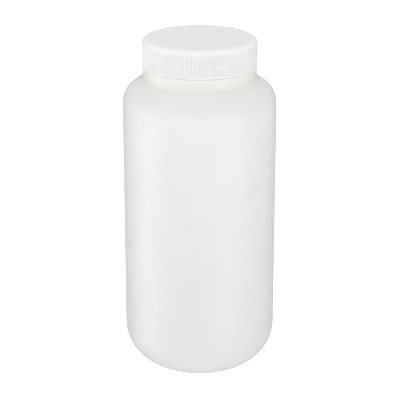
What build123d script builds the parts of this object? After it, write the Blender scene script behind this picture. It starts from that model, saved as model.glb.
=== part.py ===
from build123d import *
from math import acos, cos, degrees, radians
import os

# Wide-mouth laboratory bottle with a ribbed screw cap and a foam liner in the cap.
# Millimetres, +Z up, origin in the middle of the face that the bottle stands on.

TOLERANCE = 0.01  # for finding edges by their place

# Bottle body
BODY_RADIUS = 45.5
WALL = 1.4
HEEL_RADIUS = 25.0  # the large curve that the side turns in with
HEEL_SWEEP = 64.0  # degrees of it, before the tighter foot
FOOT_RADIUS = 8.0
RING_INNER_RADIUS = 24.5  # the flat ring that the bottle stands on begins here
BASE_RISE = 3.0  # the base is domed up inside the ring by this much
SHOULDER_START = 162.8
SHOULDER_RADIUS = 14.6
THROAT_RADIUS = 3.0  # the hollow curve from the shoulder into the collar

# Collar and neck finish
COLLAR_RADIUS = 33.6
LEDGE_HEIGHT = 185.3
LEDGE_ROUND = 0.9
NECK_RADIUS = 30.0
NECK_ROOT_FILLET = 0.8
BORE_RADIUS = 27.6
RIM_HEIGHT = 199.0
RIM_ROUND = 0.6

# Screw thread, six turns to the inch, right hand
THREAD_PITCH = 25.4 / 6
THREAD_TURNS = 1.5
THREAD_BITE = 0.4  # a thread is sunk this far into the wall that carries it
RUN_OUT_SLOPE = 25.0  # degrees that a thread's ends fade out at
RUN_OUT_CUT = (20.0, 8.0)  # length and depth of the block that slopes an end off
NECK_THREAD_START = 189.8  # height of the middle of its lower end
NECK_THREAD_DEPTH = 1.15
NECK_THREAD_WIDTHS = (2.4, 1.2)  # at the wall and at the crest
CAP_THREAD_DEPTH = 1.2
CAP_THREAD_WIDTHS = (2.3, 1.2)
CAP_THREAD_LIFT = 0.15  # above the middle of the neck's groove

# Cap
CAP_RADIUS = 34.0
CAP_BOTTOM = 185.6
CAP_TOP = 202.0
CAP_TOP_ROUND = 3.2
CAP_BORE_RADIUS = 31.55
CAP_LEAD_IN = 0.5
RIB_COUNT = 90
RIB_ROUND = 0.65
VALLEY_RADIUS = 33.55  # of the skirt between its ribs
BAND_RADIUS = 33.85  # of the plain band under the ribs
BAND_HEIGHT = 1.0
BEAD_RADIUS = 30.4  # of the bead that keeps the liner in
BEAD_HEIGHT = 0.8
GATE_RADIUS = 3.0  # the moulding gate is a nub in a shallow dimple on top
GATE_DEPTH = 0.3
NUB_RADIUS = 1.1

# Liner
LINER_RADIUS = 30.9
LINER_THICKNESS = 1.0
LINER_GAP = 0.1  # between the liner and the bead under it


def ring_edges(part, radius, height):
    """The circular edges of this radius at this height."""
    circles = part.edges().filter_by(GeomType.CIRCLE)
    level = circles.filter_by_position(Axis.Z, height - TOLERANCE, height + TOLERANCE)
    return level.filter_by(lambda edge: abs(edge.radius - radius) < TOLERANCE)


def vessel_half(inset):
    """Half section of all that lies below the neck, drawn this far inside its outer surface."""
    foot_reach = (HEEL_RADIUS - FOOT_RADIUS) * cos(radians(HEEL_SWEEP))
    foot_radius = BODY_RADIUS - HEEL_RADIUS + foot_reach
    shoulder_gap = COLLAR_RADIUS + THROAT_RADIUS - (BODY_RADIUS - SHOULDER_RADIUS)
    shoulder_sweep = degrees(acos(shoulder_gap / (SHOULDER_RADIUS + THROAT_RADIUS)))
    with BuildSketch(Plane.XZ) as half:
        with BuildLine():
            dome = TangentArc((0, BASE_RISE + inset), (RING_INNER_RADIUS, inset), tangent=(1, 0))
            ring = Line(dome @ 1, (foot_radius, inset))
            foot = JernArc(ring @ 1, (1, 0), FOOT_RADIUS - inset, 90 - HEEL_SWEEP)
            heel = JernArc(foot @ 1, foot % 1, HEEL_RADIUS - inset, HEEL_SWEEP)
            side = Line(heel @ 1, (BODY_RADIUS - inset, SHOULDER_START))
            shoulder = JernArc(side @ 1, (0, 1), SHOULDER_RADIUS - inset, shoulder_sweep)
            throat = JernArc(shoulder @ 1, shoulder % 1, THROAT_RADIUS + inset, -shoulder_sweep)
            collar = Line(throat @ 1, (COLLAR_RADIUS - inset, LEDGE_HEIGHT - inset))
            Polyline(collar @ 1, (0, LEDGE_HEIGHT - inset), dome @ 0)
        make_face()
    return half.sketch


def thread(start, wall_radius, depth, widths, outward):
    """A helical rib whose ends fade out. outward is 1 on the neck and -1 inside the cap."""
    root, crest = widths[0] / 2, widths[1] / 2
    sunk = root + THREAD_BITE * (root - crest) / depth
    rise = THREAD_PITCH * THREAD_TURNS
    with BuildPart() as rib:
        with BuildLine():
            helix = Helix(THREAD_PITCH, rise, wall_radius, center=(0, 0, start))
        with BuildSketch(Plane(helix @ 0, x_dir=(outward, 0, 0), z_dir=helix % 0)):
            with BuildLine():
                Polyline(
                    (-THREAD_BITE, -sunk), (depth, -crest), (depth, crest), (-THREAD_BITE, sunk), close=True
                )
            make_face()
        sweep(path=helix, is_frenet=True)
        ends = ((helix @ 0, 0, -1, Align.MAX), (helix @ 1, 360 * THREAD_TURNS, 1, Align.MIN))
        for end, turn, forward, side in ends:
            lean = forward * outward * (90 - RUN_OUT_SLOPE)
            with Locations(Location(end, (0, 0, turn - lean))):
                Box(*RUN_OUT_CUT, THREAD_PITCH, align=(Align.CENTER, side, Align.CENTER), mode=Mode.SUBTRACT)
    return rib.part


os.makedirs("parts", exist_ok=True)

# Bottle: body, shoulder, collar, neck and thread are one blow-moulded piece
with BuildPart() as bottle:
    add(vessel_half(0))
    revolve(axis=Axis.Z)
    fillet(ring_edges(bottle, COLLAR_RADIUS, LEDGE_HEIGHT), LEDGE_ROUND)
    with BuildSketch(Plane.XY.offset(LEDGE_HEIGHT)):
        Circle(NECK_RADIUS)
    extrude(amount=RIM_HEIGHT - LEDGE_HEIGHT)
    fillet(ring_edges(bottle, NECK_RADIUS, LEDGE_HEIGHT), NECK_ROOT_FILLET)
    add(vessel_half(WALL))
    revolve(axis=Axis.Z, mode=Mode.SUBTRACT)
    with BuildSketch(Plane.XY.offset(RIM_HEIGHT)):
        Circle(BORE_RADIUS)
    extrude(amount=-2 * (RIM_HEIGHT - LEDGE_HEIGHT), mode=Mode.SUBTRACT)
    fillet(ring_edges(bottle, NECK_RADIUS, RIM_HEIGHT), RIM_ROUND)
    fillet(ring_edges(bottle, BORE_RADIUS, RIM_HEIGHT), RIM_ROUND)
    fillet(ring_edges(bottle, BORE_RADIUS, LEDGE_HEIGHT - WALL), RIM_ROUND)
    add(thread(NECK_THREAD_START, NECK_RADIUS, NECK_THREAD_DEPTH, NECK_THREAD_WIDTHS, 1))
bottle.part.label = "bottle"
export_step(bottle.part, "parts/bottle.step")

# Cap: a ribbed skirt under a flat top with a rounded edge, threaded inside
with BuildPart() as screw_cap:
    with BuildSketch(Plane.XY.offset(CAP_BOTTOM)):
        Circle(VALLEY_RADIUS)
        with PolarLocations(CAP_RADIUS - RIB_ROUND, RIB_COUNT):
            Circle(RIB_ROUND)
    extrude(amount=CAP_TOP - CAP_BOTTOM)
    with BuildSketch(Plane.XY.offset(CAP_BOTTOM)):
        Circle(BAND_RADIUS)
    extrude(amount=BAND_HEIGHT)
    with BuildSketch(Plane.XZ):
        with BuildLine():
            crown = JernArc((CAP_RADIUS, CAP_TOP - CAP_TOP_ROUND), (0, 1), CAP_TOP_ROUND, 90)
            Polyline(crown @ 1, (0, CAP_TOP), (0, CAP_BOTTOM), (CAP_RADIUS, CAP_BOTTOM), crown @ 0)
        make_face()
    revolve(axis=Axis.Z, mode=Mode.INTERSECT)
    with BuildSketch(Plane.XY.offset(CAP_BOTTOM)):
        Circle(CAP_BORE_RADIUS)
    extrude(amount=RIM_HEIGHT + LINER_THICKNESS - CAP_BOTTOM, mode=Mode.SUBTRACT)
    chamfer(ring_edges(screw_cap, CAP_BORE_RADIUS, CAP_BOTTOM), CAP_LEAD_IN)
    with BuildSketch(Plane.XY.offset(RIM_HEIGHT - LINER_GAP)):
        Circle(CAP_BORE_RADIUS + THREAD_BITE)
        Circle(BEAD_RADIUS, mode=Mode.SUBTRACT)
    extrude(amount=-BEAD_HEIGHT)
    cap_thread_start = NECK_THREAD_START - THREAD_PITCH / 2 + CAP_THREAD_LIFT
    add(thread(cap_thread_start, CAP_BORE_RADIUS, CAP_THREAD_DEPTH, CAP_THREAD_WIDTHS, -1))
    with BuildSketch(Plane.XY.offset(CAP_TOP)):
        Circle(GATE_RADIUS)
        Circle(NUB_RADIUS, mode=Mode.SUBTRACT)
    extrude(amount=-GATE_DEPTH, mode=Mode.SUBTRACT)
screw_cap.part.label = "screw_cap"
export_step(screw_cap.part, "parts/screw_cap.step")

# Liner: a soft disc inside the cap's top, pressed on the rim of the neck
with BuildPart() as cap_liner:
    with BuildSketch(Plane.XY.offset(RIM_HEIGHT)):
        Circle(LINER_RADIUS)
    extrude(amount=LINER_THICKNESS)
cap_liner.part.label = "cap_liner"
export_step(cap_liner.part, "parts/cap_liner.step")
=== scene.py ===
import math

import bmesh
import bpy
from bpy.props import FloatProperty, FloatVectorProperty, IntProperty, PointerProperty
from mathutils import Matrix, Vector


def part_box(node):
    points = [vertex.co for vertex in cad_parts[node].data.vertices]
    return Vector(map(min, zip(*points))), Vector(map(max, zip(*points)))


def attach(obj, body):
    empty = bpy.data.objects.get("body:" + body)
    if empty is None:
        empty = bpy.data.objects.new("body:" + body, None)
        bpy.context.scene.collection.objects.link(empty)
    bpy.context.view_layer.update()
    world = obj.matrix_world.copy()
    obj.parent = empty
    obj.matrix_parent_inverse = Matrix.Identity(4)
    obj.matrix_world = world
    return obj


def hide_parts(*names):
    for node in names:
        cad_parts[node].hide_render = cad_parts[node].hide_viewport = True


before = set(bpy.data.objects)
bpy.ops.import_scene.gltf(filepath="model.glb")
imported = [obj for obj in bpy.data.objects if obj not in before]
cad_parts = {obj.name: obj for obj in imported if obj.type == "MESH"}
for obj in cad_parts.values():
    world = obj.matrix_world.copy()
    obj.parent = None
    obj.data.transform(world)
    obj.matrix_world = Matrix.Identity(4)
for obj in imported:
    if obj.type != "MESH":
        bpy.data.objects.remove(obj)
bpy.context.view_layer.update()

# Wide-mouth laboratory bottle: a milky blow-moulded vessel, a ribbed screw cap and the foam liner in it.
# Metres, +Z up, the bottle stands on Z = 0 with its axis on the Z axis.

bl_info = {
    "name": "Wide-mouth bottle",
    "version": (1, 0, 0),
    "blender": (4, 5, 0),
    "location": "3D View > Sidebar > Bottle",
    "description": "Builds a milky wide-mouth bottle with a ribbed screw cap and its liner",
    "category": "Add Mesh",
}

VESSEL_LOW, VESSEL_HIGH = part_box("bottle")
CAP_LOW, CAP_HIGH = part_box("screw_cap")
LINER_LOW, LINER_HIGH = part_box("cap_liner")


def length(name, description, default):
    """A size in metres."""
    return FloatProperty(name=name, description=description, default=default, unit="LENGTH", precision=5)


def angle(name, description, default):
    """An angle, given in degrees and kept in radians."""
    return FloatProperty(name=name, description=description, default=math.radians(default), subtype="ANGLE")


def amount(name, description, default):
    """A number that is never negative."""
    return FloatProperty(name=name, description=description, default=default, min=0)


def colour(name, description, default):
    """A linear colour."""
    return FloatVectorProperty(
        name=name, description=description, default=default, subtype="COLOR", size=3, min=0, max=1
    )


class VesselSizes(bpy.types.PropertyGroup):
    """The bottle below its thread."""

    body_radius: length("Body radius", "Outside of the straight side", VESSEL_HIGH.x)
    wall: length("Wall", "Thickness of the blown wall", 0.0014)
    heel_radius: length("Heel radius", "Large curve that the side turns in with", 0.025)
    heel_sweep: angle("Heel sweep", "How far the large curve turns before the foot", 64)
    foot_radius: length("Foot radius", "Tighter curve into the standing ring", 0.008)
    ring_inner_radius: length("Ring inner radius", "Where the dome in the base begins", 0.0245)
    base_rise: length("Base rise", "Height of the dome in the base", 0.003)
    shoulder_start: length("Shoulder start", "Height where the straight side ends", 0.1628)
    shoulder_radius: length("Shoulder radius", "Curve of the shoulder", 0.0146)
    throat_radius: length("Throat radius", "Hollow curve from the shoulder into the collar", 0.003)
    collar_radius: length("Collar radius", "Outside of the collar under the cap", 0.0336)
    ledge_height: length("Ledge height", "Top of the collar", 0.1853)
    ledge_round: length("Ledge round", "Rounding of the collar's top edge", 0.0009)
    neck_radius: length("Neck radius", "Outside of the neck between its threads", 0.03)
    neck_fillet: length("Neck fillet", "Fillet between the neck and the ledge", 0.0008)
    bore_radius: length("Bore radius", "Inside of the neck", 0.0276)
    rim_round: length("Rim round", "Rounding of the rim's edges", 0.0006)
    seam_height: length("Seam height", "How far the mould's parting lines stand proud", 0.0001)
    seam_width: length("Seam width", "Of the mould's parting lines at their foot", 0.0005)
    seam_turn: angle("Seam turn", "From the X axis to the plane where the mould parts", 8.4375)
    segments: IntProperty(name="Segments", description="Faces round it", default=256, min=64, max=512)


class ThreadSizes(bpy.types.PropertyGroup):
    """The screw thread on the neck and in the cap."""

    pitch: length("Pitch", "Rise of one turn, six turns to the inch", 0.0254 / 6)
    turns: FloatProperty(name="Turns", description="Length of each thread", default=1.5, min=0.5, max=3)
    neck_start: length("Neck start", "Height of the middle of the neck thread's lower end", 0.1898)
    neck_depth: length("Neck depth", "How far the neck thread stands out", 0.00115)
    neck_root: length("Neck root width", "Width of the neck thread at the wall", 0.0024)
    cap_depth: length("Cap depth", "How far the cap thread stands in", 0.0012)
    cap_root: length("Cap root width", "Width of the cap thread at the wall", 0.0023)
    crest: length("Crest width", "Width of both threads at their crests", 0.0012)
    lift: length("Cap thread lift", "Of the cap thread above the middle of the neck's groove", 0.00015)
    bite: length("Bite", "How far a thread is sunk into its wall", 0.0004)
    run_out: angle("Run-out", "Turn over which a thread's ends fade into the wall", 8)
    steps: IntProperty(name="Steps", description="Sections in one turn", default=144, min=36, max=360)


class CapSizes(bpy.types.PropertyGroup):
    """The ribbed cap."""

    radius: length("Radius", "Over the ribs", CAP_HIGH.x)
    top_round: length("Top round", "Rounding of the top edge", 0.0032)
    bore_radius: length("Bore radius", "Inside of the skirt", 0.03155)
    lead_in: length("Lead-in", "Chamfer inside the skirt's mouth", 0.0005)
    ribs: IntProperty(name="Ribs", description="Ribs round the skirt", default=90, min=12, max=180)
    rib_round: length("Rib round", "Radius of a rib's back", 0.00065)
    valley_radius: length("Valley radius", "Skirt between its ribs", 0.03355)
    band_radius: length("Band radius", "Plain band under the ribs", 0.03385)
    band_height: length("Band height", "Plain band under the ribs", 0.001)
    bead_radius: length("Bead radius", "Bead that keeps the liner in", 0.0304)
    bead_height: length("Bead height", "Bead that keeps the liner in", 0.0008)
    gate_radius: length("Gate radius", "Dimple round the moulding gate", 0.003)
    gate_depth: length("Gate depth", "Dimple round the moulding gate", 0.0003)
    nub_radius: length("Nub radius", "Moulding gate", 0.0011)


class LinerSizes(bpy.types.PropertyGroup):
    """The foam disc in the cap."""

    edge_round: length("Edge round", "Rounding of the disc's edges", 0.0002)
    pressed_depth: length("Pressed depth", "Depth of the ring that the rim leaves", 0.00012)
    segments: IntProperty(name="Segments", description="Faces round it", default=192, min=64, max=512)


class Finishes(bpy.types.PropertyGroup):
    """Colours of the plastics."""

    vessel_thin: colour("Vessel, thin wall", "Milky polyethylene", (0.86, 0.86, 0.86))
    vessel_thick: colour("Vessel, thick wall", "The same where it is thicker", (0.90, 0.90, 0.885))
    # Painted shade: the vessel's colour darkens towards the foot, standing in for the lower body getting
    # less light.
    vessel_low_shade: colour("Vessel, low", "The same near the foot", (0.80, 0.80, 0.805))
    # Painted shade: a darker colour on the shoulder, standing in for the little light it gets from above.
    vessel_shoulder_shade: colour("Vessel, shoulder", "The same where the wall turns in", (0.81, 0.81, 0.81))
    neck_tint: colour("Neck tint", "Warmer tint of the thick neck and collar", (0.90, 0.895, 0.84))
    # Painted light: a near-white colour on the ledge under the cap, lightening the shade in the narrow gap
    # there.
    ledge_painted_light: colour("Ledge tint", "The same at the ledge under the cap", (0.97, 0.965, 0.93))
    cap_clear: colour("Cap, clear", "Natural polypropylene", (0.78, 0.78, 0.782))
    cap_cloudy: colour("Cap, cloudy", "The same where it is cloudier", (0.85, 0.85, 0.848))
    # Painted light: a paler colour in the cap's top, making up for the weak light from above.
    cap_top_lit: colour("Cap, top", "The same in the thicker top", (0.92, 0.92, 0.915))
    # Painted light: a paler colour in the plain band at the cap's foot, a painted highlight along the lower
    # edge above the shaded gap.
    cap_band_lit: colour("Cap, band", "The same in the plain band under the ribs", (0.94, 0.94, 0.93))
    foam_light: colour("Foam, light", "Skin of the liner", (0.88, 0.88, 0.87))
    foam_dark: colour("Foam, dark", "Cells of the liner", (0.74, 0.74, 0.72))
    floor: colour("Floor", "Pale floor", (0.93, 0.93, 0.93))
    floor_fibre: colour("Floor fibre", "Fibres in the pale floor", (0.9207, 0.9207, 0.9207))


class StageSettings(bpy.types.PropertyGroup):
    """Camera, lights and floor."""

    elevation: angle("Camera elevation", "Above the horizon", 19.94)
    distance: length("Camera distance", "From the point looked at", 0.9393)
    target_height: length("Target height", "Point on the axis that the camera looks at", 0.1013)
    focal_length: amount("Focal length", "Of the lens, in mm", 140.1)
    shift: FloatProperty(name="Shift", description="Sideways shift of the lens", default=0.001)
    backdrop: amount("Backdrop", "Brightness of what the camera sees behind the bottle", 1)
    ambient: amount("Ambient", "Even light from all round", 0.73)
    tent_front: amount("Front tent", "Extra light from the front of the tent", 0.28)
    tent_left: amount("Left tent", "Extra light from the left of the tent", 0.14)
    tent_right: amount("Right tent", "Extra light from the right of the tent", 0.18)
    tent_floor: amount("Floor tent", "Extra light from the pale floor below", 0.14)
    low_sheen: amount("Low sheen", "What glossy skins mirror from below the horizon", 0.16)
    high_sheen: amount("High sheen", "What glossy skins mirror from above the horizon", 0.65)
    floor_sheen: amount("Floor sheen", "What glossy skins mirror from straight below", 0.4)
    left_sheen: amount("Left sheen", "Brightness of the left soft panel that the side mirrors", 2.2)
    right_sheen: amount("Right sheen", "Brightness of the right soft panel that the side mirrors", 1.5)
    left_panel: angle("Left panel", "From the front to the left panel", -82)
    right_panel: angle("Right panel", "From the front to the right panel", 44)
    key_power: amount("Key light", "Power of the soft light from the front left", 0.4)
    key_turn: angle("Key turn", "From the front to the key light", -55)
    fill_power: amount("Fill light", "Power of the soft light from the front right", 0.2)
    fill_turn: angle("Fill turn", "From the front to the fill light", 35)
    top_power: amount("Top light", "Power of the soft light from above", 0.15)
    floor_glow: amount("Floor glow", "Light that the floor adds of its own", 1)
    floor_size: length("Floor size", "Side of the square floor", 6)


# Modelling helpers


def start_clean():
    """Leaves edit mode with nothing selected."""
    if bpy.context.object and bpy.context.object.mode != "OBJECT":
        bpy.ops.object.mode_set(mode="OBJECT")
    bpy.ops.object.select_all(action="DESELECT")


def settle(name):
    """Names the new object, and puts its place into its mesh."""
    obj = bpy.context.object
    obj.name = name
    obj.data.name = name
    bpy.ops.object.transform_apply(location=True, rotation=True, scale=True)
    return obj


def arc(middle, radius, start, end, steps):
    """Points (radius, height) along an arc between two angles in degrees."""
    angles = [math.radians(start + (end - start) * i / steps) for i in range(steps + 1)]
    return [(middle[0] + radius * math.cos(a), middle[1] + radius * math.sin(a)) for a in angles]


def run(start, end, steps):
    """Points (radius, height) along a straight run."""
    return [tuple(a + (b - a) * i / steps for a, b in zip(start, end)) for i in range(steps + 1)]


def joined(*stretches):
    """One outline from stretches that meet, with each shared point kept once."""
    points = []
    for point in (p for stretch in stretches for p in stretch):
        if not points or math.dist(points[-1], point) > 1e-7:
            points.append(point)
    return points


def lathe(name, outline, segments):
    """A closed round solid: a disc's edge is extruded ring by ring along the outline, then closed."""
    start_clean()
    radius, height = outline[0]
    bpy.ops.mesh.primitive_circle_add(
        vertices=segments, radius=radius, fill_type="TRIFAN", location=(0, 0, height)
    )
    obj = settle(name)
    bpy.ops.object.mode_set(mode="EDIT")
    bpy.ops.mesh.select_mode(type="EDGE")
    bpy.ops.mesh.select_all(action="DESELECT")
    bpy.ops.mesh.select_non_manifold()
    for (old_radius, old_height), (new_radius, new_height) in zip(outline, outline[1:]):
        grow = new_radius / old_radius
        bpy.ops.mesh.extrude_edges_move(TRANSFORM_OT_translate={"value": (0, 0, new_height - old_height)})
        bpy.ops.transform.resize(value=(grow, grow, 1), center_override=(0, 0, new_height))
    bpy.ops.mesh.edge_face_add()
    bpy.ops.mesh.poke()
    bpy.ops.mesh.select_all(action="SELECT")
    bpy.ops.mesh.normals_make_consistent(inside=False)
    bpy.ops.object.mode_set(mode="OBJECT")
    return obj


def select_points(obj, wanted):
    """In edit mode, selects the vertices that pass a test on their place and normal."""
    mesh = bmesh.from_edit_mesh(obj.data)
    bpy.ops.mesh.select_mode(type="VERT")
    bpy.ops.mesh.select_all(action="DESELECT")
    for vert in mesh.verts:
        if wanted(vert.co, vert.normal):
            vert.select = True
    mesh.select_flush_mode()
    bmesh.update_edit_mesh(obj.data)


def apply_modifier(obj, kind, **settings):
    """Adds one modifier with these settings and applies it."""
    modifier = obj.modifiers.new(kind.title(), kind)
    for name, value in settings.items():
        setattr(modifier, name, value)
    bpy.context.view_layer.objects.active = obj
    bpy.ops.object.modifier_apply(modifier=modifier.name)


SLIVER = 2e-6  # edges shorter than this are closed up after solids are joined


def merge_into(obj, other):
    """Joins a second solid to the first as one closed surface, without slivers."""
    start_clean()
    apply_modifier(obj, "BOOLEAN", operation="UNION", solver="EXACT", object=other)
    bpy.data.objects.remove(other)
    bpy.ops.object.mode_set(mode="EDIT")
    bpy.ops.mesh.select_all(action="SELECT")
    bpy.ops.mesh.dissolve_degenerate(threshold=SLIVER)
    bpy.ops.object.mode_set(mode="OBJECT")


def smooth(obj, degrees):
    start_clean()
    obj.select_set(True)
    bpy.context.view_layer.objects.active = obj
    bpy.ops.object.shade_smooth_by_angle(angle=math.radians(degrees))


# Screw thread


def thread_section(threads, start, wall_radius, depth, root, outward):
    """Cross-section of a thread as a wire, standing in the XZ plane."""
    start_clean()
    middle = wall_radius + outward * (depth - threads.bite) / 2
    bpy.ops.mesh.primitive_plane_add(size=1, location=(middle, 0, start), rotation=(math.pi / 2, 0, 0))
    rib = bpy.context.object
    rib.scale = (depth + threads.bite, root, 1)
    rib = settle("thread")
    bpy.ops.object.mode_set(mode="EDIT")
    select_points(rib, lambda place, normal: outward * (place.x - middle) > 0)
    bpy.ops.transform.resize(value=(1, 1, threads.crest / root), center_override=(middle, 0, start))
    bpy.ops.mesh.bevel(offset=threads.crest / 4, segments=3, affect="VERTICES")
    bpy.ops.mesh.select_all(action="SELECT")
    bpy.ops.mesh.delete(type="ONLY_FACE")
    bpy.ops.object.mode_set(mode="OBJECT")
    return rib


END_SINK = 0.05  # share of a thread's depth that its very end lies below the wall's surface


def fade_ends(rib, threads, section_points, wall_radius, depth, outward):
    """Lowers both ends of a thread into the wall that carries it."""
    crest_radius = wall_radius + outward * depth
    sections = len(rib.data.vertices) // section_points
    fading = round(threads.run_out / (2 * math.pi) * threads.steps)
    bpy.ops.object.mode_set(mode="EDIT")
    bpy.ops.mesh.select_mode(type="VERT")
    for step in range(fading):
        lowered = (wall_radius + outward * depth * (step / fading - END_SINK)) / crest_radius
        mesh = bmesh.from_edit_mesh(rib.data)
        mesh.verts.ensure_lookup_table()
        bpy.ops.mesh.select_all(action="DESELECT")
        for section in (step, sections - 1 - step):
            for vert in mesh.verts[section * section_points : (section + 1) * section_points]:
                vert.select = outward * (math.hypot(vert.co.x, vert.co.y) - wall_radius) > 0
        mesh.select_flush_mode()
        bpy.ops.transform.resize(value=(lowered, lowered, 1), center_override=(0, 0, 0))
    bpy.ops.object.mode_set(mode="OBJECT")


def thread_rib(threads, start, wall_radius, depth, root, outward):
    """A helical rib with rounded crests, closed at both ends."""
    rib = thread_section(threads, start, wall_radius, depth, root, outward)
    section_points = len(rib.data.vertices)
    steps = round(threads.steps * threads.turns)
    apply_modifier(
        rib,
        "SCREW",
        angle=2 * math.pi * threads.turns,
        screw_offset=threads.pitch * threads.turns,
        steps=steps,
        render_steps=steps,
        axis="Z",
    )
    fade_ends(rib, threads, section_points, wall_radius, depth, outward)
    bpy.ops.object.mode_set(mode="EDIT")
    bpy.ops.mesh.select_all(action="SELECT")
    bpy.ops.mesh.fill_holes(sides=0)
    bpy.ops.mesh.normals_make_consistent(inside=False)
    bpy.ops.object.mode_set(mode="OBJECT")
    return rib


# Outlines, from the axis out and back to the axis


def circle_through(reach, rise):
    """Radius of the arc that is level at the axis and drops by rise at reach."""
    return (reach**2 + rise**2) / (2 * rise)


def dome(sizes, lift):
    """The base inside the standing ring, from near the axis outwards."""
    radius = circle_through(sizes.ring_inner_radius, sizes.base_rise)
    middle = (0, sizes.base_rise + lift - radius)
    edge = math.degrees(math.asin(sizes.ring_inner_radius / radius))
    return arc(middle, radius, 90 - edge / 16, 90 - edge, 15)


def heel_and_foot(sizes, inset):
    """From the standing ring up to the straight side."""
    sweep = math.degrees(sizes.heel_sweep)
    heel_middle = (
        sizes.body_radius - sizes.heel_radius,
        sizes.foot_radius + (sizes.heel_radius - sizes.foot_radius) * math.sin(sizes.heel_sweep),
    )
    foot_reach = (sizes.heel_radius - sizes.foot_radius) * math.cos(sizes.heel_sweep)
    foot_middle = (heel_middle[0] + foot_reach, sizes.foot_radius)
    foot = arc(foot_middle, sizes.foot_radius - inset, -90, -sweep, 6)
    return foot + arc(heel_middle, sizes.heel_radius - inset, -sweep, 0, 18)


def shoulder_and_throat(sizes, inset):
    """From the straight side up to the collar."""
    shoulder_middle = (sizes.body_radius - sizes.shoulder_radius, sizes.shoulder_start)
    gap = sizes.collar_radius + sizes.throat_radius - shoulder_middle[0]
    reach = sizes.shoulder_radius + sizes.throat_radius
    sweep = math.degrees(math.acos(gap / reach))
    throat_middle = (shoulder_middle[0] + gap, sizes.shoulder_start + math.sqrt(reach**2 - gap**2))
    shoulder = arc(shoulder_middle, sizes.shoulder_radius - inset, 0, sweep, 18)
    return shoulder + arc(throat_middle, sizes.throat_radius + inset, 180 + sweep, 180, 8)


def vessel_side(sizes, inset):
    """From the standing ring up to the top of the throat, with the straight side in short runs."""
    heel, shoulder = heel_and_foot(sizes, inset), shoulder_and_throat(sizes, inset)
    return joined(heel, run(heel[-1], shoulder[0], 24), shoulder)


def neck_outline(sizes):
    """From the top of the throat over the ledge, up the neck, over the rim and down the bore."""
    ledge, rim = sizes.ledge_height, VESSEL_HIGH.z
    corner, fillet, rounding = sizes.ledge_round, sizes.neck_fillet, sizes.rim_round
    ledge_edge = arc((sizes.collar_radius - corner, ledge - corner), corner, 0, 90, 6)
    neck_foot = arc((sizes.neck_radius + fillet, ledge + fillet), fillet, 270, 180, 5)
    rim_outside = arc((sizes.neck_radius - rounding, rim - rounding), rounding, 0, 90, 5)
    rim_inside = arc((sizes.bore_radius + rounding, rim - rounding), rounding, 90, 180, 5)
    roof = ledge - sizes.wall
    bore_end = arc((sizes.bore_radius + rounding, roof + rounding), rounding, 180, 270, 5)
    roof_end = (sizes.collar_radius - sizes.wall, roof)
    return joined(
        ledge_edge,
        run(ledge_edge[-1], neck_foot[0], 2),
        neck_foot,
        run(neck_foot[-1], rim_outside[0], 12),
        rim_outside,
        rim_inside,
        run(rim_inside[-1], bore_end[0], 12),
        bore_end,
        run(bore_end[-1], roof_end, 3),
    )


def vessel_outline(sizes):
    """The whole wall in section: up the outside, over the rim and down the inside."""
    outside, inside = vessel_side(sizes, 0), vessel_side(sizes, sizes.wall)
    return joined(
        dome(sizes, 0), outside, neck_outline(sizes), inside[::-1], dome(sizes, sizes.wall)[::-1]
    )


def cap_outline(sizes):
    """The cap in section: from the gate over the top, down the skirt and up the inside."""
    top, bottom, under = CAP_HIGH.z, CAP_LOW.z, LINER_HIGH.z
    crown = arc((sizes.radius - sizes.top_round, top - sizes.top_round), sizes.top_round, 90, 0, 18)
    band_top = bottom + sizes.band_height
    edge = sizes.lead_in / 2
    band = arc((sizes.band_radius - edge, bottom + edge), edge, 0, -90, 4)
    mouth = sizes.bore_radius + sizes.lead_in
    bead_top = LINER_LOW.z - (under - LINER_LOW.z) / 10
    bead = [
        (sizes.bore_radius, bead_top - sizes.bead_height),
        (sizes.bead_radius + edge / 2, bead_top - sizes.bead_height * 2 / 3),
        (sizes.bead_radius, bead_top - sizes.bead_height / 3),
        (sizes.bead_radius + edge / 2, bead_top),
        (sizes.bore_radius, bead_top),
    ]
    gate = [
        (sizes.nub_radius / 2, top),
        (sizes.nub_radius, top - sizes.gate_depth / 4),
        (sizes.nub_radius * 1.1, top - sizes.gate_depth),
        (sizes.gate_radius * 0.8, top - sizes.gate_depth),
        (sizes.gate_radius, top),
    ]
    return joined(
        gate,
        run(gate[-1], crown[0], 10),
        crown,
        run(crown[-1], (sizes.radius, band_top), 8),
        [(sizes.band_radius, band_top - edge / 2)],
        band,
        [(mouth, bottom), (sizes.bore_radius, bottom + sizes.lead_in)],
        run((sizes.bore_radius, bottom + sizes.lead_in), bead[0], 10),
        bead,
        run(bead[-1], (sizes.bore_radius, under), 2),
        run((sizes.bore_radius, under), (sizes.nub_radius, under), 10),
    )


def liner_outline(sizes, vessel):
    """A thin disc with softened edges and the ring that the rim has pressed into it."""
    radius, low, high = LINER_HIGH.x, LINER_LOW.z, LINER_HIGH.z
    soft, pressed = sizes.edge_round, low + sizes.pressed_depth
    upper = arc((radius - soft, high - soft), soft, 90, 0, 3)
    lower = arc((radius - soft, low + soft), soft, 0, -90, 3)
    outside, inside = vessel.neck_radius, vessel.bore_radius
    centre = radius / 20
    return joined(
        run((centre, high), upper[0], 16),
        upper,
        lower,
        [(outside, low), (outside - vessel.rim_round, pressed)],
        run((outside - vessel.rim_round, pressed), (inside + vessel.rim_round, pressed), 3),
        run((inside, low), (centre, low), 14),
    )


# Details on the round solids


def faces_out(place, normal):
    """Whether a point on the vessel's wall lies on its outside."""
    return normal.dot(place - Vector((0, 0, VESSEL_HIGH.z / 2))) > 0


def on_seam(sizes, across, place, normal):
    """Whether a point lies on the outside in the parting plane, clear of the standing ring and the neck."""
    reach = math.hypot(place.x, place.y)
    on_side = sizes.foot_radius / 4 < place.z < sizes.ledge_height - sizes.ledge_round
    on_dome = place.z < sizes.foot_radius and reach < sizes.ring_inner_radius - sizes.wall
    in_plane = abs(place.dot(across)) < sizes.seam_height / 10
    return in_plane and (on_side or on_dome) and faces_out(place, normal)


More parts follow.
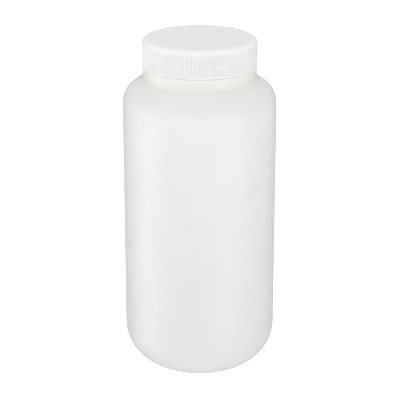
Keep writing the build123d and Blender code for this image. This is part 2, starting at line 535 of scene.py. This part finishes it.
def raise_seams(vessel, sizes):
    """Raises the line that the two mould halves leave down both sides and across the base."""
    across = Vector((-math.sin(sizes.seam_turn), math.cos(sizes.seam_turn), 0))
    start_clean()
    bpy.context.view_layer.objects.active = vessel
    bpy.ops.object.mode_set(mode="EDIT")
    for side in (-1, 1):
        bpy.ops.mesh.select_all(action="SELECT")
        bpy.ops.mesh.bisect(plane_co=across * side * sizes.seam_width / 2, plane_no=across)
    select_points(vessel, lambda place, normal: on_seam(sizes, across, place, normal))
    bpy.ops.transform.shrink_fatten(value=sizes.seam_height)
    bpy.ops.object.mode_set(mode="OBJECT")


def rib_reach(sizes, offset):
    """Radius of the ribbed skirt at an angle from the middle of a rib."""
    middle = sizes.radius - sizes.rib_round
    aside = middle * math.sin(offset)
    if aside >= sizes.rib_round:
        return sizes.valley_radius
    return max(sizes.valley_radius, middle * math.cos(offset) + math.sqrt(sizes.rib_round**2 - aside**2))


RIB_STEPS = 8  # faces from one rib to the next


def steps_from_rib(sizes, place):
    """How many faces round the skirt a point is from the nearest rib's middle."""
    around = round(math.atan2(place.y, place.x) / (2 * math.pi) * sizes.ribs * RIB_STEPS) % RIB_STEPS
    return min(around, RIB_STEPS - around)


def sink_valleys(cap, sizes):
    """Lowers the skirt between its ribs. In the top rounding the ribs run out by themselves."""
    crown_radii = [point[0] for point in cap_outline(sizes) if point[1] > CAP_LOW.z + 2 * sizes.band_height]
    start_clean()
    bpy.context.view_layer.objects.active = cap
    bpy.ops.object.mode_set(mode="EDIT")
    for step in range(1, RIB_STEPS // 2 + 1):
        reach = rib_reach(sizes, 2 * math.pi * step / (sizes.ribs * RIB_STEPS))
        for ring in sorted({round(radius, 8) for radius in crown_radii if radius > reach}):
            select_points(
                cap,
                lambda place, normal: abs(math.hypot(place.x, place.y) - ring) < 1e-6
                and steps_from_rib(sizes, place) == step
                and place.z > CAP_LOW.z + sizes.band_height - 1e-6,
            )
            bpy.ops.transform.resize(value=(reach / ring, reach / ring, 1), center_override=(0, 0, 0))
    bpy.ops.object.mode_set(mode="OBJECT")


# Materials

# Heights between which one tone takes over from another
# Painted shade: heights over which the vessel's colour darkens towards the foot.
LOW_SHADE_TONE = (0.165, 0.015)
# Painted shade: heights where the darker shoulder colour takes over.
SHOULDER_SHADE_TONE = (0.164, 0.171)
NECK_TONE = (0.169, 0.179)
# Painted light: heights where the near-white ledge colour takes over.
LEDGE_LIGHT_TONE = (0.1838, 0.1846)
# Painted light: heights where the paler band colour takes over.
BAND_LIT_TONE = (0.1868, 0.1862)
# Painted light: heights where the paler top colour takes over.
TOP_LIT_TONE = (0.198, 0.2015)

# Spans that nearly all values of a pattern lie in
CLOUDS = (0.35, 0.65)
GRAIN = (0.3, 0.7)
CELLS = (0.1, 0.6)


def new_material(name):
    """A material with its shader and its pattern coordinates."""
    material = bpy.data.materials.new(name)
    material.use_nodes = True
    nodes = material.node_tree.nodes
    links = material.node_tree.links
    place = nodes.new("ShaderNodeTexCoord").outputs["Object"]
    return material, nodes, links, nodes["Principled BSDF"], place


def noise(nodes, links, place, scale, detail=3, roughness=0.5, stretch=(1, 1, 1)):
    """Noise over the piece, stretched along the axes by a Mapping node."""
    mapping = nodes.new("ShaderNodeMapping")
    mapping.inputs["Scale"].default_value = stretch
    texture = nodes.new("ShaderNodeTexNoise")
    texture.inputs["Scale"].default_value = scale
    texture.inputs["Detail"].default_value = detail
    texture.inputs["Roughness"].default_value = roughness
    links.new(place, mapping.inputs["Vector"])
    links.new(mapping.outputs["Vector"], texture.inputs["Vector"])
    return texture.outputs["Fac"]


def remap(nodes, links, value, span, target=(0, 1)):
    """Carries a value from one span to another, and holds it there."""
    node = nodes.new("ShaderNodeMapRange")
    node.inputs["From Min"].default_value, node.inputs["From Max"].default_value = span
    node.inputs["To Min"].default_value, node.inputs["To Max"].default_value = target
    links.new(value, node.inputs["Value"])
    return node.outputs["Result"]


def blend_colours(nodes, links, factor, first, second):
    """Mixes two colours by a factor. Each colour is a value or another node's output."""
    node = nodes.new("ShaderNodeMix")
    node.data_type = "RGBA"
    links.new(factor, node.inputs["Factor"])
    for socket, given in ((node.inputs[6], first), (node.inputs[7], second)):
        if isinstance(given, bpy.types.NodeSocket):
            links.new(given, socket)
        else:
            socket.default_value = (*given, 1)
    return node.outputs[2]


def height_of(nodes, links, place):
    """Height of a point on the piece."""
    node = nodes.new("ShaderNodeSeparateXYZ")
    links.new(place, node.inputs["Vector"])
    return node.outputs["Z"]


def add_bump(nodes, links, height, distance, strength, under=None):
    """A bump of this depth, over another one if there is one."""
    node = nodes.new("ShaderNodeBump")
    node.inputs["Distance"].default_value = distance
    node.inputs["Strength"].default_value = strength
    links.new(height, node.inputs["Height"])
    if under:
        links.new(under, node.inputs["Normal"])
    return node.outputs["Normal"]


def make_milky(shader, scatter, reach, index):
    """Lets light through the wall, as an unpigmented plastic does."""
    shader.inputs["Subsurface Weight"].default_value = scatter
    shader.inputs["Subsurface Radius"].default_value = (1, 1, 0.9)
    shader.inputs["Subsurface Scale"].default_value = reach
    shader.inputs["IOR"].default_value = index


def vessel_plastic(finish):
    """Blown polyethylene: cloudy wall, faint flow streaks, satin skin, warmer where it is thick, with
    painted shade towards the foot and on the shoulder and painted light on the ledge under the cap.
    """
    material, nodes, links, shader, place = new_material("milky_polyethylene")
    height = height_of(nodes, links, place)
    clouds = noise(nodes, links, place, scale=38, detail=2)
    cloudiness = remap(nodes, links, clouds, CLOUDS)
    tone = blend_colours(nodes, links, cloudiness, finish.vessel_thin, finish.vessel_thick)
    # Painted shade darkens the lower body and the shoulder, and painted light pales the ledge under the
    # cap; the neck tint is the plastic's own.
    for span, tint in (
        (LOW_SHADE_TONE, finish.vessel_low_shade),
        (SHOULDER_SHADE_TONE, finish.vessel_shoulder_shade),
        (NECK_TONE, finish.neck_tint),
        (LEDGE_LIGHT_TONE, finish.ledge_painted_light),
    ):
        tone = blend_colours(nodes, links, remap(nodes, links, height, span), tone, tint)
    links.new(tone, shader.inputs["Base Color"])
    satin = noise(nodes, links, place, scale=900, detail=4, roughness=0.6)
    links.new(remap(nodes, links, satin, GRAIN, (0.27, 0.36)), shader.inputs["Roughness"])
    wall_waves = noise(nodes, links, place, scale=22, detail=1)
    streaks = noise(nodes, links, place, scale=260, detail=2, stretch=(1, 1, 0.05))
    skin = noise(nodes, links, place, scale=1500, detail=3)
    normal = add_bump(nodes, links, wall_waves, distance=0.0004, strength=0.3)
    normal = add_bump(nodes, links, streaks, distance=0.00004, strength=0.5, under=normal)
    normal = add_bump(nodes, links, skin, distance=0.00002, strength=0.6, under=normal)
    links.new(normal, shader.inputs["Normal"])
    make_milky(shader, scatter=0.6, reach=0.003, index=1.5)
    return material


def cap_plastic(finish):
    """Moulded polypropylene: a satin skin, a top and foot made paler as painted light, and flow lines round
    the gate.
    """
    material, nodes, links, shader, place = new_material("natural_polypropylene")
    height = height_of(nodes, links, place)
    clouds = noise(nodes, links, place, scale=60, detail=3)
    cloudiness = remap(nodes, links, clouds, CLOUDS)
    tone = blend_colours(nodes, links, cloudiness, finish.cap_clear, finish.cap_cloudy)
    # Painted light pales the plain band at the cap's foot and its top.
    for span, tint in ((BAND_LIT_TONE, finish.cap_band_lit), (TOP_LIT_TONE, finish.cap_top_lit)):
        tone = blend_colours(nodes, links, remap(nodes, links, height, span), tone, tint)
    links.new(tone, shader.inputs["Base Color"])
    satin = noise(nodes, links, place, scale=700, detail=4, roughness=0.6)
    links.new(remap(nodes, links, satin, GRAIN, (0.28, 0.38)), shader.inputs["Roughness"])
    rings = nodes.new("ShaderNodeTexWave")
    rings.wave_type = "RINGS"
    rings.rings_direction = "Z"
    rings.inputs["Scale"].default_value = 220
    rings.inputs["Distortion"].default_value = 3
    rings.inputs["Detail"].default_value = 2
    links.new(place, rings.inputs["Vector"])
    skin = noise(nodes, links, place, scale=1800, detail=3)
    normal = add_bump(nodes, links, rings.outputs["Fac"], distance=0.00001, strength=0.5)
    normal = add_bump(nodes, links, skin, distance=0.000015, strength=0.5, under=normal)
    links.new(normal, shader.inputs["Normal"])
    make_milky(shader, scatter=0.4, reach=0.002, index=1.49)
    return material


def liner_foam(finish):
    """Fine closed-cell foam with a rolled skin."""
    material, nodes, links, shader, place = new_material("foam")
    cells = nodes.new("ShaderNodeTexVoronoi")
    cells.inputs["Scale"].default_value = 2200
    links.new(place, cells.inputs["Vector"])
    depth = remap(nodes, links, cells.outputs["Distance"], CELLS)
    tone = blend_colours(nodes, links, depth, finish.foam_dark, finish.foam_light)
    links.new(tone, shader.inputs["Base Color"])
    rolled = noise(nodes, links, place, scale=300, detail=3, stretch=(1, 0.2, 1))
    links.new(remap(nodes, links, rolled, GRAIN, (0.6, 0.75)), shader.inputs["Roughness"])
    normal = add_bump(nodes, links, cells.outputs["Distance"], distance=0.0001, strength=0.7)
    normal = add_bump(nodes, links, rolled, distance=0.00004, strength=0.5, under=normal)
    links.new(normal, shader.inputs["Normal"])
    make_milky(shader, scatter=0.2, reach=0.001, index=1.5)
    return material


def floor_paper(finish, glow):
    """Pale, matt studio paper, bright enough to hold hardly any shadow."""
    material, nodes, links, shader, place = new_material("studio_floor")
    fibres = noise(nodes, links, place, scale=400, detail=4)
    paper = blend_colours(nodes, links, fibres, finish.floor_fibre, finish.floor)
    links.new(paper, shader.inputs["Base Color"])
    links.new(remap(nodes, links, fibres, GRAIN, (0.75, 0.85)), shader.inputs["Roughness"])
    shader.inputs["Specular IOR Level"].default_value = 0
    shader.inputs["Emission Color"].default_value = (1, 1, 1, 1)
    shader.inputs["Emission Strength"].default_value = glow
    return material


# Operators


def finish_piece(piece, material, body, node):
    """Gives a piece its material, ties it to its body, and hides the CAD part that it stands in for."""
    piece.data.materials.clear()
    piece.data.materials.append(material)
    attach(piece, body)
    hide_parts(node)


class BOTTLE_OT_vessel(bpy.types.Operator):
    """Blow-moulded vessel with its seams and neck thread"""

    bl_idname = "bottle.vessel"
    bl_label = "Vessel"

    def execute(self, context):
        sizes, threads = context.scene.bottle_vessel, context.scene.bottle_threads
        vessel = lathe("milky_vessel", vessel_outline(sizes), sizes.segments)
        raise_seams(vessel, sizes)
        thread = thread_rib(
            threads, threads.neck_start, sizes.neck_radius, threads.neck_depth, threads.neck_root, 1
        )
        merge_into(vessel, thread)
        smooth(vessel, 40)
        plastic = vessel_plastic(context.scene.bottle_finishes)
        finish_piece(vessel, plastic, "vessel", "bottle")
        return {"FINISHED"}


class BOTTLE_OT_cap(bpy.types.Operator):
    """Ribbed screw cap with its gate, liner bead and inner thread"""

    bl_idname = "bottle.cap"
    bl_label = "Screw cap"

    def execute(self, context):
        sizes, threads = context.scene.bottle_cap, context.scene.bottle_threads
        cap = lathe("ribbed_cap", cap_outline(sizes), sizes.ribs * RIB_STEPS)
        sink_valleys(cap, sizes)
        start = threads.neck_start - threads.pitch / 2 + threads.lift
        thread = thread_rib(
            threads, start, sizes.bore_radius, threads.cap_depth, threads.cap_root, -1
        )
        merge_into(cap, thread)
        smooth(cap, 40)
        plastic = cap_plastic(context.scene.bottle_finishes)
        finish_piece(cap, plastic, "closure", "screw_cap")
        return {"FINISHED"}


class BOTTLE_OT_liner(bpy.types.Operator):
    """Foam disc that seals the cap on the rim"""

    bl_idname = "bottle.liner"
    bl_label = "Liner"

    def execute(self, context):
        sizes = context.scene.bottle_liner
        liner = lathe("foam_disc", liner_outline(sizes, context.scene.bottle_vessel), sizes.segments)
        smooth(liner, 40)
        foam = liner_foam(context.scene.bottle_finishes)
        finish_piece(liner, foam, "liner", "cap_liner")
        return {"FINISHED"}


def add_camera(stage):
    """The camera, looking a little down at the middle of the bottle from the front."""
    reach = stage.distance * math.cos(stage.elevation)
    height = stage.target_height + stage.distance * math.sin(stage.elevation)
    bpy.ops.object.camera_add(location=(0, -reach, height), rotation=(math.pi / 2 - stage.elevation, 0, 0))
    camera = bpy.context.object
    camera.name = "camera"
    camera.data.lens = stage.focal_length
    camera.data.clip_start = stage.distance / 100
    camera.data.shift_x = stage.shift
    bpy.context.scene.camera = camera


SIDE_LIGHT = {"size": (0.25, 0.45), "height": 0.45, "distance": 0.75}
TOP_LIGHT = {"size": (0.5, 0.5), "height": 0.85, "distance": 0.15}


def add_light(name, power, turn, size, height, distance):
    """A large soft light that faces the bottle. The turn is from the front, positive to the right."""
    place = Vector((distance * math.sin(turn), -distance * math.cos(turn), height))
    bpy.ops.object.light_add(type="AREA", location=place)
    light = bpy.context.object
    light.name = name
    light.data.shape = "RECTANGLE"
    light.data.size, light.data.size_y = size
    light.data.energy = power
    light.rotation_euler = (Vector((0, 0, VESSEL_HIGH.z / 2)) - place).to_track_quat("-Z", "Y").to_euler()
    light.visible_camera = False


def combine(nodes, links, operation, first, second):
    """One step of arithmetic on two values, either of which may be a number."""
    node = nodes.new("ShaderNodeMath")
    node.operation = operation
    for socket, given in zip(node.inputs, (first, second)):
        if isinstance(given, bpy.types.NodeSocket):
            links.new(given, socket)
        else:
            socket.default_value = given
    return node.outputs["Value"]


def soft_lobe(nodes, links, direction, towards, strength, sharpness):
    """Light that is strongest towards one direction and falls off smoothly round it."""
    dot = nodes.new("ShaderNodeVectorMath")
    dot.operation = "DOT_PRODUCT"
    links.new(direction, dot.inputs[0])
    dot.inputs[1].default_value = Vector(towards).normalized()
    facing = combine(nodes, links, "MAXIMUM", dot.outputs["Value"], 0)
    shaped = combine(nodes, links, "POWER", facing, sharpness)
    return combine(nodes, links, "MULTIPLY", shaped, strength)


HORIZON = (-0.1, 0.2)  # heights of a direction between which the low sheen turns into the high one
TENT_SHARPNESS = 1
FLOOR_SHARPNESS = 2
PANEL_SHARPNESS = 12
DOWN = (0, 0, -1)


def light_surroundings(stage):
    """White behind the bottle, a soft tent of light round it, and a floor and soft panels to mirror."""
    world = bpy.data.worlds.new("studio")
    bpy.context.scene.world = world
    world.use_nodes = True
    nodes, links = world.node_tree.nodes, world.node_tree.links
    rays = nodes.new("ShaderNodeLightPath")
    direction = nodes.new("ShaderNodeTexCoord").outputs["Generated"]
    tent = stage.ambient
    for towards, strength in (
        ((0, -1, 0), stage.tent_front),
        ((-1, 0, 0), stage.tent_left),
        ((1, 0, 0), stage.tent_right),
        (DOWN, stage.tent_floor),
    ):
        lobe = soft_lobe(nodes, links, direction, towards, strength, TENT_SHARPNESS)
        tent = combine(nodes, links, "ADD", tent, lobe)
    height = height_of(nodes, links, direction)
    mirrored = remap(nodes, links, height, HORIZON, (stage.low_sheen, stage.high_sheen))
    lobe = soft_lobe(nodes, links, direction, DOWN, stage.floor_sheen, FLOOR_SHARPNESS)
    mirrored = combine(nodes, links, "ADD", mirrored, lobe)
    for turn, strength in ((stage.left_panel, stage.left_sheen), (stage.right_panel, stage.right_sheen)):
        towards = (math.sin(turn), -math.cos(turn), -math.sin(stage.elevation))
        lobe = soft_lobe(nodes, links, direction, towards, strength, PANEL_SHARPNESS)
        mirrored = combine(nodes, links, "ADD", mirrored, lobe)
    lit = nodes.new("ShaderNodeMix")
    links.new(rays.outputs["Is Glossy Ray"], lit.inputs["Factor"])
    links.new(tent, lit.inputs["A"])
    links.new(mirrored, lit.inputs["B"])
    shown = nodes.new("ShaderNodeMix")
    links.new(rays.outputs["Is Camera Ray"], shown.inputs["Factor"])
    links.new(lit.outputs["Result"], shown.inputs["A"])
    shown.inputs["B"].default_value = stage.backdrop
    links.new(shown.outputs["Result"], nodes["Background"].inputs["Strength"])
    nodes["Background"].inputs["Color"].default_value = (1, 1, 1, 1)


def hide_from_light(floor):
    """Leaves the light under the bottle to the tent, so that the floor can be white without lighting it."""
    floor.visible_diffuse = False
    floor.visible_glossy = False
    floor.visible_shadow = False


class BOTTLE_OT_stage(bpy.types.Operator):
    """Pale floor, soft lights and the camera"""

    bl_idname = "bottle.stage"
    bl_label = "Stage"

    def execute(self, context):
        stage = context.scene.bottle_stage
        start_clean()
        bpy.ops.mesh.primitive_grid_add(x_subdivisions=8, y_subdivisions=8, size=stage.floor_size)
        floor = settle("floor")
        floor.data.materials.append(floor_paper(context.scene.bottle_finishes, stage.floor_glow))
        hide_from_light(floor)
        add_light("key", stage.key_power, stage.key_turn, **SIDE_LIGHT)
        add_light("fill", stage.fill_power, stage.fill_turn, **SIDE_LIGHT)
        add_light("top", stage.top_power, 0, **TOP_LIGHT)
        light_surroundings(stage)
        add_camera(stage)
        context.scene.view_settings.view_transform = "Standard"
        return {"FINISHED"}


class BOTTLE_PT_panel(bpy.types.Panel):
    """Sidebar panel with the bottle's pieces and stage"""

    bl_idname = "BOTTLE_PT_panel"
    bl_label = "Wide-mouth bottle"
    bl_space_type = "VIEW_3D"
    bl_region_type = "UI"
    bl_category = "Bottle"

    def draw(self, context):
        for operator in OPERATORS:
            self.layout.operator(operator.bl_idname)
        for group in SETTINGS:
            box = self.layout.box()
            for name in SETTINGS[group].__annotations__:
                box.prop(getattr(context.scene, group), name)


SETTINGS = {
    "bottle_vessel": VesselSizes,
    "bottle_threads": ThreadSizes,
    "bottle_cap": CapSizes,
    "bottle_liner": LinerSizes,
    "bottle_finishes": Finishes,
    "bottle_stage": StageSettings,
}
OPERATORS = (BOTTLE_OT_vessel, BOTTLE_OT_cap, BOTTLE_OT_liner, BOTTLE_OT_stage)


def register():
    for kind in (*SETTINGS.values(), *OPERATORS, BOTTLE_PT_panel):
        bpy.utils.register_class(kind)
    for name, kind in SETTINGS.items():
        setattr(bpy.types.Scene, name, PointerProperty(type=kind))


def unregister():
    for name in SETTINGS:
        delattr(bpy.types.Scene, name)
    for kind in (BOTTLE_PT_panel, *OPERATORS, *SETTINGS.values()):
        bpy.utils.unregister_class(kind)


def main():
    register()
    bpy.ops.bottle.vessel()
    bpy.ops.bottle.cap()
    bpy.ops.bottle.liner()
    bpy.ops.bottle.stage()


if __name__ == "__main__":
    main()
